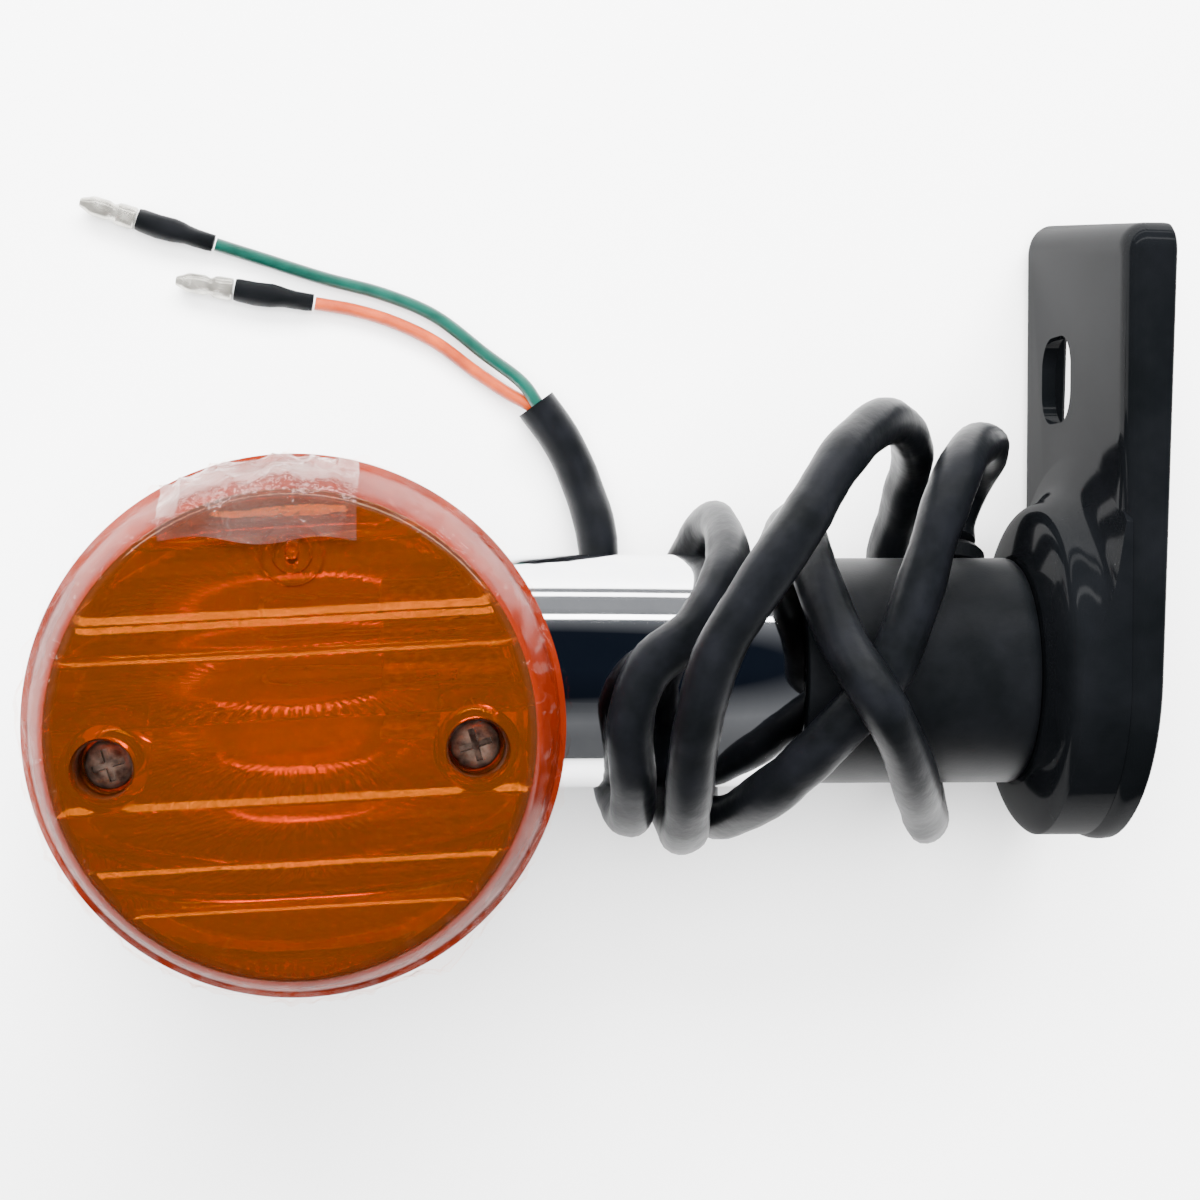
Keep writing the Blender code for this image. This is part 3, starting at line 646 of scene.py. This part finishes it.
def buildLens(amber):
    note("lens")
    outer = [(0, 60), (29.2, 60), (29.9, 59.92), (30.5, 59.65), (31.1, 59.2), (31.6, 58.6), (32.0, 57.9),
             (35.0, 46.2), (35.2, 45.6), (35.6, 45.3), (36, 45.0), (36, 43.6), (0, 43.6)]
    body = finishMesh("amberLens", turned(outer, lens["segments"]), amber)
    hollow = [(0, 42), (33.1, 42), (33.0, 43.6), (30.4, 56.6), (29.9, 57.3), (29.5, 58.4), (0, 58.4)]
    cavity = finishMesh("cavity", turned(hollow, lens["segments"]), amber)
    # the underside steps from rib to rib: each is a long bulging slope that bends light to one band
    reach = lens["reach"]
    comb = [(-reach, 0.030), (reach, 0.030), (reach, 0.0562)]
    tops = []
    for low, high in zip(lens["ribLines"], lens["ribLines"][1:]):
        for i in range(lens["ribSteps"] + 1):
            t = i / lens["ribSteps"]
            z = 56.0 + lens["ribDepth"] * (0.65 * t + 0.45 * sin(pi * t))
            tops.append(((low + lens["ribStep"] + (high - low - lens["ribStep"]) * t) * mm, z * mm))
    comb += tops[::-1] + [(-reach, 0.0562)]
    ribs = extruded(comb, -reach, reach)
    ribs.transform(Matrix.Translation((headX, screwLineY, 0)) @ Matrix.Rotation(lensTilt, 4, "Z"))
    boolean(cavity, ribs, "INTERSECT")
    booleanWith(body, cavity, "DIFFERENCE")
    for x, y in screwSpots():
        well = [(0, 47.4), (5.2, 47.4), (5.4, 47.7), (5.6, 58.9), (0, 58.9)]
        boolean(body, turned(well, 64, "Z", (x, y, 0)), "UNION")
        bore = [(0, 40), (2.3, 40), (2.3, 50), (3.7, 50), (3.75, 59.2), (4.2, 60.2), (4.2, 62), (0, 62)]
        boolean(body, turned(bore, 64, "Z", (x, y, 0)), "DIFFERENCE")
    gx, gy = headX + lens["gate"][0] * mm, headY + lens["gate"][1] * mm
    rings = [[(0, 60.36), (0.7, 60.34), (1.0, 59.8), (0, 59.8)],
             [(2.1, 59.8), (2.25, 60.3), (2.45, 60.3), (2.65, 59.8)],
             [(3.7, 59.8), (3.85, 60.28), (4.05, 60.28), (4.25, 59.8)]]
    for ring in rings:
        boolean(body, turned(ring, 64, "Z", (gx, gy, 0)), "UNION")
    shaded(body, 28)
    # the side wall takes the fluted finish, whose darker colour is painted shade
    flutedPaintedShade = amberFlutesPaintedShade()
    body.data.materials.append(flutedPaintedShade)
    for face in body.data.polygons:
        spot = Vector((face.center.x - headX, face.center.y - headY))
        face.material_index = int(spot.length > 0.0304 and face.center.z < 0.0594)
    finished(body, "head", "amber_lens", "lens")
    # one upright flute for the inside of the wall, repeated all round
    flute = bmesh.new()
    loops = []
    for radius, z, half in lens["fluteEnds"]:
        root = (radius + lens["fluteRoot"]) * mm
        loop = [flute.verts.new((root, -half * mm, z * mm))]
        for i in range(lens["fluteSteps"] + 1):
            t = i / lens["fluteSteps"]
            bulge = radius - lens["fluteDepth"] * sin(pi * t)
            loop.append(flute.verts.new((bulge * mm, half * (2 * t - 1) * mm, z * mm)))
        loop.append(flute.verts.new((root, half * mm, z * mm)))
        loops.append(loop)
    bridge(flute, loops)
    flute.faces.new(loops[0])
    flute.faces.new(loops[1])
    ring = repeated("lensFlutes", flute, flutedPaintedShade, lens["flutes"], (headX, headY, 0), 0.0, 5)
    finished(ring, "head", "amber_lens")


reflector = {
    "flutes": 72, "fluteDepth": 0.34, "across": 6,
    "plainRadius": 13, "fade": 9,      # flutes start here and reach full depth over this much more
}


def vacuumSilver():
    # vapour-deposited aluminium on moulded plastic: bright, a little soft from the base coat
    mat, tree, shader = newMaterial("vacuumSilver", "#dcd6c8", 0.14, 1.0)
    where = addMottle(tree, shader, "#cfc6b2", "#e6e1d6", 160.0, 0.10, 0.22)
    addBump(tree, shader, where, 300.0, 0.00006, 0.3)
    return mat


def buildReflector():
    # one fluted sector of the dish, repeated all round, then opened for the bulb
    note("reflector")
    silver = vacuumSilver()
    inside = curveThrough([(0, 7.9), (9.9, 8.5), (17.6, 11.3), (23.3, 16.7), (27.2, 25.4), (29.4, 38.0)], 7)
    outside = curveThrough([(32.0, 37.3), (30, 36), (28, 25), (24, 16), (18, 10.4), (10, 7.5), (0, 6.9)], 3)
    profile = inside + [(29.5, 38.1), (31.9, 38.1), (32.0, 37.9)] + outside
    sector = bmesh.new()
    half = pi / reflector["flutes"]
    rows = []
    for level, (radius, z) in enumerate(profile):
        if radius <= 0:
            rows.append([sector.verts.new((0, 0, z * mm))])
            continue
        row = []
        for i in range(reflector["across"] + 1):
            t = i / reflector["across"]
            a = half * (2 * t - 1)
            deep = min(max((radius - reflector["plainRadius"]) / reflector["fade"], 0), 1)
            dip = reflector["fluteDepth"] * sin(pi * t) * deep if level < len(inside) - 1 else 0
            r = radius - dip
            row.append(sector.verts.new((r * cos(a) * mm, r * sin(a) * mm, (z + dip) * mm)))
        rows.append(row)
    for first, second in zip(rows, rows[1:]):
        for i in range(reflector["across"]):
            if len(first) == 1:
                sector.faces.new((first[0], second[i], second[i + 1]))
            elif len(second) == 1:
                sector.faces.new((first[i], first[i + 1], second[0]))
            else:
                sector.faces.new((first[i], first[i + 1], second[i + 1], second[i]))
    dish = repeated("reflectorDish", sector, silver, reflector["flutes"], (headX, headY, 0))
    boolean(dish, turned([(0, 14), (10.4, 14), (10.4, 40), (0, 40)], 64, "X"), "DIFFERENCE")
    shaded(dish, 40)
    finished(dish, "head", "vacuum_silver", "reflector")


film = {
    "angular": 420, "topRows": 44, "rimRows": 7, "sideRows": 26,
    "lift": 0.42,                      # mm between the film and the lens
    "topRadius": 29.8, "rim": 2.6,     # flat top, then the turn over the lens's edge
    "sideRadius": 32.4, "side": 3.0,   # then the wall
    "foldAngle": radians(-56), "foldWidth": radians(9), "foldHeight": 1.9,
    "tapeSteps": (60, 30), "tapeStart": -16.5, "tapeWidth": 24.8, "tapeRadius": 34.7,
}


def angleGap(a, b):
    return abs((a - b + pi) % (2 * pi) - pi)


def planAngle(x, y):
    return Vector((1, 0)).angle_signed(Vector((x, y))) * -1


def creaseField(spot, sharpness, power):
    # sharp crests where the noise crosses zero
    return (1 - min(abs(noise.noise(spot)) * sharpness, 1)) ** power


def filmPlace(radius, a, extra=0.0):
    # where the drawn film lies at a radius and angle, with its creases pushed out (all mm)
    x, y = radius * cos(a), radius * sin(a)
    if radius <= film["topRadius"]:
        z, out = 60.0, Vector((0, 0, 1))
    elif radius <= film["sideRadius"]:
        t = (radius - film["topRadius"]) / film["rim"]
        z = 60.0 - 1.7 * t ** 2.1
        out = Vector((cos(a) * t * 0.8, sin(a) * t * 0.8, 1.0)).normalized()
    else:
        t = (radius - film["sideRadius"]) / film["side"]
        z = 58.3 - 12.4 * t
        out = Vector((cos(a), sin(a), 0.24)).normalized()
    spot = Vector((x, y, z))
    grain = Vector((x, y, z * 0.6)) * 0.085
    ridge = creaseField(grain * 1.3 + Vector((3, 1, 7)), 3.4, 3)
    fine = creaseField(grain * 3.1 + Vector((9, 4, 2)), 3.0, 3)
    swell = noise.noise(grain * 0.9 + Vector((1, 8, 4))) * 0.5 + 0.5
    edge = min(max((radius - 26) / 7, 0), 1)
    folds = creaseField(Vector((cos(a) * 9, sin(a) * 9, z * 0.05)), 2.6, 2)
    push = 0.3 * ridge + 0.14 * fine + 0.22 * swell + edge * (0.6 * folds + 0.4 * ridge + 0.2 * fine)
    aside = angleGap(a, film["foldAngle"]) / film["foldWidth"]
    push += film["foldHeight"] * edge * max(0.0, 1 - aside ** 2) ** 2
    return spot + out * (film["lift"] + push + extra)


def clearFilm():
    # stretched polypropylene wrap: water-clear, a little milky where creased; the small share it turns
    # back is mirror-bright, which gives each fold its glint
    return seeThrough("clearFilm", "#fffaf8", "#ecdcd6", 0.1, creases=(110.0, 0.0020),
                      haze=(60.0, 0.996, 0.972), metallic=1.0, glossShare=0.05)


def tapeFilm():
    # clear parcel tape stuck over a crumpled fold: whiter and rougher than the wrap under it
    return seeThrough("tapeFilm", "#fff4f0", "#e6cfc8", 0.16, creases=(240.0, 0.0014),
                      haze=(160.0, 0.93, 0.80), metallic=0.85, glossShare=0.6)


def buildFilm():
    note("film")
    bm = bmesh.new()
    centre = Vector((headX, headY, 0))
    radii = [0] + [film["topRadius"] * (k / film["topRows"]) for k in range(1, film["topRows"] + 1)]
    for start, reach, rows in (("topRadius", "rim", "rimRows"), ("sideRadius", "side", "sideRows")):
        radii += [film[start] + film[reach] * k / film[rows] for k in range(1, film[rows] + 1)]
    loops = []
    for radius in radii:
        count = film["angular"] if radius > 0 else 1
        loop = []
        for i in range(count):
            a = 2 * pi * i / film["angular"]
            reach = radius
            if radius > 33:
                # an uneven lower edge
                ragged = noise.noise(Vector((cos(a) * 3, sin(a) * 3, 4))) + 0.6
                reach = radius - (radius - 33) / 2.4 * 0.35 * ragged
            loop.append(bm.verts.new(centre + filmPlace(reach, a) * mm))
        loops.append(loop)
    bridge(bm, loops)
    sheet = finishMesh("wrapFilm", bm, clearFilm(), 50, 0.000001)
    finished(sheet, "head", "clear_film", "protective_film")

    # the tape follows the same creases, from a wavy lower edge up and over the rim
    tape = bmesh.new()
    across, along = film["tapeSteps"]
    rows = []
    for i in range(across + 1):
        x = film["tapeStart"] + film["tapeWidth"] * i / across
        low, top = 24.6 + 0.5 * sin(x * 0.4), sqrt(film["tapeRadius"] ** 2 - x * x)
        row = []
        for k in range(along + 1):
            y = low + (top - low) * k / along
            row.append(tape.verts.new(centre + filmPlace(sqrt(x * x + y * y), planAngle(x, y), 0.1) * mm))
        rows.append(row)
    for first, second in zip(rows, rows[1:]):
        for k in range(along):
            tape.faces.new((first[k], second[k], second[k + 1], first[k + 1]))
    strip = finishMesh("filmTape", tape, tapeFilm(), 50, 0.000001)
    finished(strip, "head", "clear_film")


housing = {
    "bowlSegments": 160, "stemSegments": 128, "holeSegments": 32,
    # (radius, height) in mm; the bowl's curves run between these
    "bowlOuter": [(14, 0), (21.5, 2.2), (28.4, 8.6), (32.6, 18), (34.5, 28), (35, 36)],
    "bowlInner": [(33, 36), (32.5, 28), (30.6, 18.6), (26.8, 10), (20.4, 4.2), (13.6, 2.2)],
}


def buildHousing(chrome):
    note("housing")
    outer = curveThrough(housing["bowlOuter"], 6)
    outer = [(0, 0), (8, 0)] + outer + [(35, 40.6), (35.3, 40.9), (35.3, 41.7), (35.1, 42), (0, 42)]
    inner = curveThrough(housing["bowlInner"], 6)
    inner = [(0, 43), (33, 43)] + inner + [(0, 2)]
    stem = [(0, 18), (16.5, 18), (16.5, 68.5), (16.32, 68.92), (15.9, 69.1), (0, 69.1)]
    bore = [(0, 14), (14.2, 14), (14.2, 68.6), (14.6, 69.2), (14.6, 70), (0, 70)]
    shell = finishMesh("chromeHousing", turned(outer, housing["bowlSegments"]), chrome)
    boolean(shell, turned(stem, housing["stemSegments"], "X"), "UNION")
    boolean(shell, turned(inner, housing["bowlSegments"]), "DIFFERENCE")
    boolean(shell, turned(bore, housing["stemSegments"], "X"), "DIFFERENCE")
    # a lug for each lens screw, then the hole for the grub screw under the stem
    for side, (x, y) in zip((1, -1), screwSpots()):
        ends = sorted((x - 0.0046 * side, x + 0.0106 * side))
        hole = turned([(0, 30), (2.2, 30), (2.2, 50), (0, 50)], housing["holeSegments"], "Z", (x, y, 0))
        boolean(shell, blockMesh((ends[0], y - 0.0046, 0.0386), (ends[1], y + 0.0046, 0.0416)), "UNION")
        boolean(shell, hole, "DIFFERENCE")
    drill = turned([(0, -1), (3.0, -1), (2.2, 8.4), (2.2, 14), (0, 14)], housing["holeSegments"], "Z",
                   (grubX, stemY, 0))
    boolean(shell, drill, "DIFFERENCE")
    shaded(shell, 32)
    finished(shell, "head", "chrome", "housing")


stalkShape = {
    "segments": 112, "plugRadius": 13.9, "radius": 16, "boreRadius": 3.4,    # mm
    "plugRings": 6, "rings": 30, "boreRings": 16,    # rings along each stretch of the profile
}


def rings(radius, start, reach, count):
    return [(radius, start + reach * k / count) for k in range(1, count + 1)]


def buildStalk():
    note("stalk")
    plug, wide, bore = stalkShape["plugRadius"], stalkShape["radius"], stalkShape["boreRadius"]
    outer = [(bore, 56.0), (plug, 56.0)] + rings(plug, 56, 13.4, stalkShape["plugRings"])
    outer += [(15.5, 69.4), (15.9, 69.6), (wide, 70.1)] + rings(wide, 70.1, 30.3, stalkShape["rings"])
    outer += [(15.8, 101.0), (15.4, 101.4), (11.6, 101.4), (11.6, 97.6), (bore, 97.6)]
    outer += rings(bore, 97.6, -41.6, stalkShape["boreRings"])[:-1]
    stalk = finishMesh("rubberStalk", turned(outer, stalkShape["segments"], "X"), satinRubber())
    pocket = turned([(0, 6), (2.3, 6), (2.3, 14.6), (0, 14.6)], 24, "Z", (grubX, stemY, 0))
    boolean(stalk, pocket, "DIFFERENCE")
    shaded(stalk)
    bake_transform(stalk)
    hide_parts("rubber_stalk")


bracket = {
    "halfWidth": 24.0, "cornerRadius": 4.4, "topNear": 61.0, "topFar": 66.0,    # mm
    "arcSteps": 64, "cornerSteps": 10, "bendSteps": 10,
    "slotMiddle": (41.8, 17.0), "slotHalf": (1.7, 2.1), "slotCorner": 4.6,
    # the hump round the stalk's seat, as (radius, distance along X)
    "lip": [(16.2, 101.75), (16.8, 101.75), (21.2, 102.9), (23.2, 104.2), (24.4, 106.6), (26.6, 108.7),
            (31.5, 110.1)],
}


def bracketOutline(inset):
    # round at the bottom, squared at the top with its far corner higher than the near one
    half = bracket["halfWidth"] - inset
    points = []
    for k in range(bracket["arcSteps"] + 1):
        a = pi + pi * k / bracket["arcSteps"]
        points.append((stemY + half * sin(a) * mm, axisZ + half * cos(a) * mm))
    corner = max(bracket["cornerRadius"] - inset, 1.2)
    for side, top in ((1, bracket["topNear"]), (-1, bracket["topFar"])):
        steps = list(range(bracket["cornerSteps"] + 1))
        for k in steps if side > 0 else steps[::-1]:
            a = pi / 2 * k / bracket["cornerSteps"]
            points.append((stemY + (top - inset - corner + corner * sin(a)) * mm,
                           axisZ + side * (half - corner + corner * cos(a)) * mm))
    return points


def flangeEdge(y, back):
    # the flange widens slightly towards the top
    share = (y - stemY + 0.024) / 0.090
    return headX + (114.6 + 2.2 * share - back) * mm


def buildBracket(paint):
    note("bracket")
    # rings from the flange's edge round the bend to the web, then back along the inside:
    # "edge" is a distance back from the edge and "x" a place along X, each with its inset
    levels = [("edge", 0.35, 1.75), ("edge", 0.0, 1.4), ("edge", 0.0, 0.5), ("edge", 0.3, 0.08),
              ("edge", 1.0, 0.0)]
    for k in range(bracket["bendSteps"] + 1):
        a = pi / 2 * k / bracket["bendSteps"]
        levels.append(("x", 113.1 - 3.2 * sin(a), 3.4 * (1 - cos(a))))
    inner = [("x", 111.9, 5.0), ("x", 112.3, 3.4), ("x", 113.2, 2.4), ("edge", 0.8, 2.0), ("edge", 0.45, 1.9)]
    bm = bmesh.new()
    loops = []
    for kind, value, inset in levels + inner:
        loop = []
        for y, z in bracketOutline(inset):
            x = flangeEdge(y, value) if kind == "edge" else headX + value * mm
            loop.append(bm.verts.new((x, y, z)))
        loops.append(loop)
    split = len(levels)
    bridge(bm, loops[:split])
    bridge(bm, loops[split:])
    bridge(bm, [loops[-1], loops[0]])
    bm.faces.new(loops[split - 1])
    bm.faces.new(loops[split])
    plate = finishMesh("pressedBracket", bm, paint, 30)
    bossProfile = [(0, 101.7)] + curveThrough(bracket["lip"], 6) + [(31.5, 111.0), (0, 111.0)]
    boss = finishMesh("boss", turned(bossProfile, 144, "X"), paint)
    boolean(boss, extruded(bracketOutline(0.6), headX + 0.100, headX + 0.114), "INTERSECT")
    booleanWith(plate, boss, "UNION")
    hollow = [(0, 103.7), (16.2, 103.7), (20.2, 104.8), (21.6, 107.6), (21.6, 112.6), (0, 112.6)]
    boolean(plate, turned(hollow, 96, "X"), "DIFFERENCE")
    boolean(plate, turned([(0, 100), (6.4, 100), (6.4, 106), (0, 106)], 48, "X"), "DIFFERENCE")
    # the wiring slot, a rounded rectangle drawn corner by corner
    (slotY, slotZ), (halfY, halfZ), corner = bracket["slotMiddle"], bracket["slotHalf"], bracket["slotCorner"]
    hole = []
    for cy, cz, start in ((1, 1, 0), (-1, 1, 90), (-1, -1, 180), (1, -1, 270)):
        for k in range(11):
            a = radians(start + 9 * k)
            y, z = slotY + cy * halfY + corner * cos(a), slotZ + cz * halfZ + corner * sin(a)
            hole.append((stemY + y * mm, z * mm))
    boolean(plate, extruded(hole, headX + 0.105, headX + 0.120), "DIFFERENCE")
    shaded(plate, 30)
    finished(plate, "root", "black_paint", "bracket")


screws = {
    "segments": 64,
    "profile": [(0, 52.95), (1.4, 52.9), (2.2, 52.75), (2.8, 52.4), (3.15, 51.9), (3.3, 51.3), (3.3, 50.5),
                (3.2, 50.4), (1.9, 50.4), (1.9, 36.4), (1.0, 35.0), (0, 35.0)],
    "crossTurn": 0.3, "crossHalf": (2.15, 0.42), "crossFloor": 51.3,    # the driver recess
}


def buildScrews():
    note("screws")
    steel = plainMetal("tarnishedSteel", "#2a201b", "#6e6056", 0.25, 0.5, 500.0, 0.6)
    far, near = screws["crossHalf"]
    for name, spot in zip(("Right", "Left"), screwSpots()):
        shank = turned(screws["profile"], screws["segments"], "Z", (*spot, 0))
        screw = finishMesh("lensScrew" + name, shank, steel)
        for quarter in (screws["crossTurn"], screws["crossTurn"] + pi / 2):
            arm = [(-far, -near), (far, -near), (far, near), (-far, near)]
            bar = extruded(arm, screws["crossFloor"], 55.0, "Z")
            turn = Matrix.Rotation(quarter, 4, "Z") @ Matrix.Scale(mm, 4)
            bar.transform(Matrix.Translation((*spot, 0)) @ turn)
            boolean(screw, bar, "DIFFERENCE")
        shaded(screw)
        finished(screw, "head", "dark_steel", "lens_screw_" + name.lower())


bulb = {
    "segments": 72,
    "profile": [(0, -19.6), (2.6, -19.3), (5.4, -18.4), (9.4, -15), (11.9, -10), (12.5, -4), (11.6, 1),
                (9.0, 6), (7.4, 10.0), (7.0, 12.2)],
}


def buildBulb():
    # clear soda glass: almost all light passes and the rest is a sharp shine
    note("bulb")
    glass = seeThrough("bulbGlass", "#fbfbf8", "#f2f2ee", 0.04)
    profile = curveThrough(bulb["profile"], 4) + [(0, 12.3)]
    envelope = finishMesh("bulbEnvelope", turned(profile, bulb["segments"], "X"), glass, 45)
    finished(envelope, "bulb", "bulb_clear", "bulb_glass")


springShape = {"steps": 96, "perTurn": 24, "radius": 5.2, "start": 30.85, "length": 7.1, "wireRadius": 0.0004}


def buildSpring():
    # an evenly wound open coil
    note("spring")
    path = []
    for i in range(springShape["steps"] + 1):
        a = 2 * pi * i / springShape["perTurn"]
        x = springShape["start"] + springShape["length"] * i / springShape["steps"]
        reach = springShape["radius"] * mm
        path.append(Vector((headX + x * mm, stemY + reach * cos(a), axisZ + reach * sin(a))))
    steel = plainMetal("springSteel", "#6d6a66", "#98948d", 0.25, 0.4, 900.0)
    spring = sweep("contactSpring", path, springShape["wireRadius"], 12, steel)
    finished(spring, "head", "dark_steel", "contact_spring")
    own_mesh(spring)


def dressNodes():
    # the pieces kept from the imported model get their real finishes
    note("small parts")
    zinc = plainMetal("zincPlate", "#8f8f8a", "#b9b8b0", 0.24, 0.42, 700.0)
    brass = plainMetal("drawnBrass", "#a8823f", "#d0ab63", 0.2, 0.36, 500.0)
    finishes = {
        "bulb_socket": zinc, "socket_carrier": zinc, "stud_washer": zinc, "lock_washer": zinc,
        "stud_nut": zinc,
        "stalk_stud": plainMetal("phosphatedSteel", "#2c2a29", "#4a4745", 0.4, 0.6, 900.0),
        "grub_screw": plainMetal("blackOxideSteel", "#1d1c1c", "#3a3735", 0.35, 0.55, 900.0),
        "bulb_filament": plainMetal("tungsten", "#7b7771", "#a39d94", 0.3, 0.45, 1200.0),
        "bulb_base": brass, "bulb_contact": plainMetal("solder", "#8d8d8c", "#bab9b5", 0.3, 0.5, 1200.0),
        "contact_disc": plainDull("phenolicBoard", "#4a2a14", "#6b4123", 0.55),
        "lens_gasket": satinRubber("gasketRubber", 0.6),
        "lead_grommet": satinRubber("grommetRubber", 0.5),
    }
    for name, mat in finishes.items():
        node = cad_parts[name]
        if not node.data.materials:
            node.data.materials.append(mat)
        for holder in node.material_slots:
            holder.material = mat


chrome = chromePlate()
amber = amberPlastic()
buildHousing(chrome)
buildLens(amber)
buildReflector()
buildFilm()
buildStalk()
buildBracket(blackEnamel())
buildScrews()
buildBulb()
buildSpring()
dressNodes()
